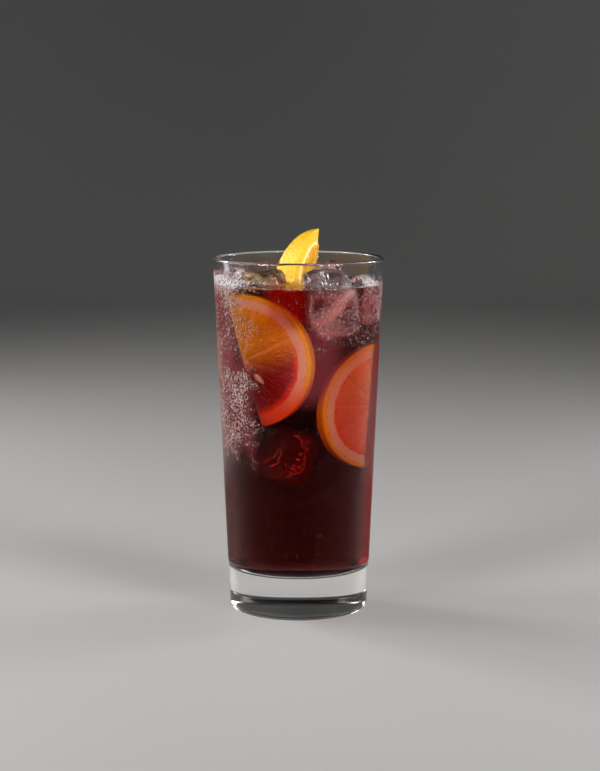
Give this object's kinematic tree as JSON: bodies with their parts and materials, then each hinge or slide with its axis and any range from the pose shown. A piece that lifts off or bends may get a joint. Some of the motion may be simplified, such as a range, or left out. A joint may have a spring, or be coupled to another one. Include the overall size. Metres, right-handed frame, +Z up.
{
  "type": "red wine punch in a tall glass",
  "caption": "Tall tapered glass on a thick clear base, filled with red wine punch, with floating ice, half slices of orange against the wall and an orange wedge standing above the rim.",
  "frame": {"origin": "middle of the glass's underside, on the surface that it stands on", "axes": "+Z up along the glass's axis; -Y is the front, where the two half slices show; +X is to the right seen from the front"},
  "size_m": [0.075, 0.0751, 0.1672],
  "materials": {
    "clear_glass": "clear and smooth, with fine condensation outside",
    "punch": "clear dark red liquid",
    "orange": "pored rind, pale pith and wet flesh",
    "ice": "wet and clear with a cloudy core"
  },
  "bodies": {
    "root": {"glass": "clear_glass", "punch": "punch", "orange_wedge": "orange", "orange_slice_left": "orange", "orange_slice_right": "orange", "orange_slice_back": "orange", "ice_front_left": "ice", "ice_front_right": "ice", "ice_right": "ice", "ice_back": "ice", "ice_left": "ice"}
  },
  "joints": []
}
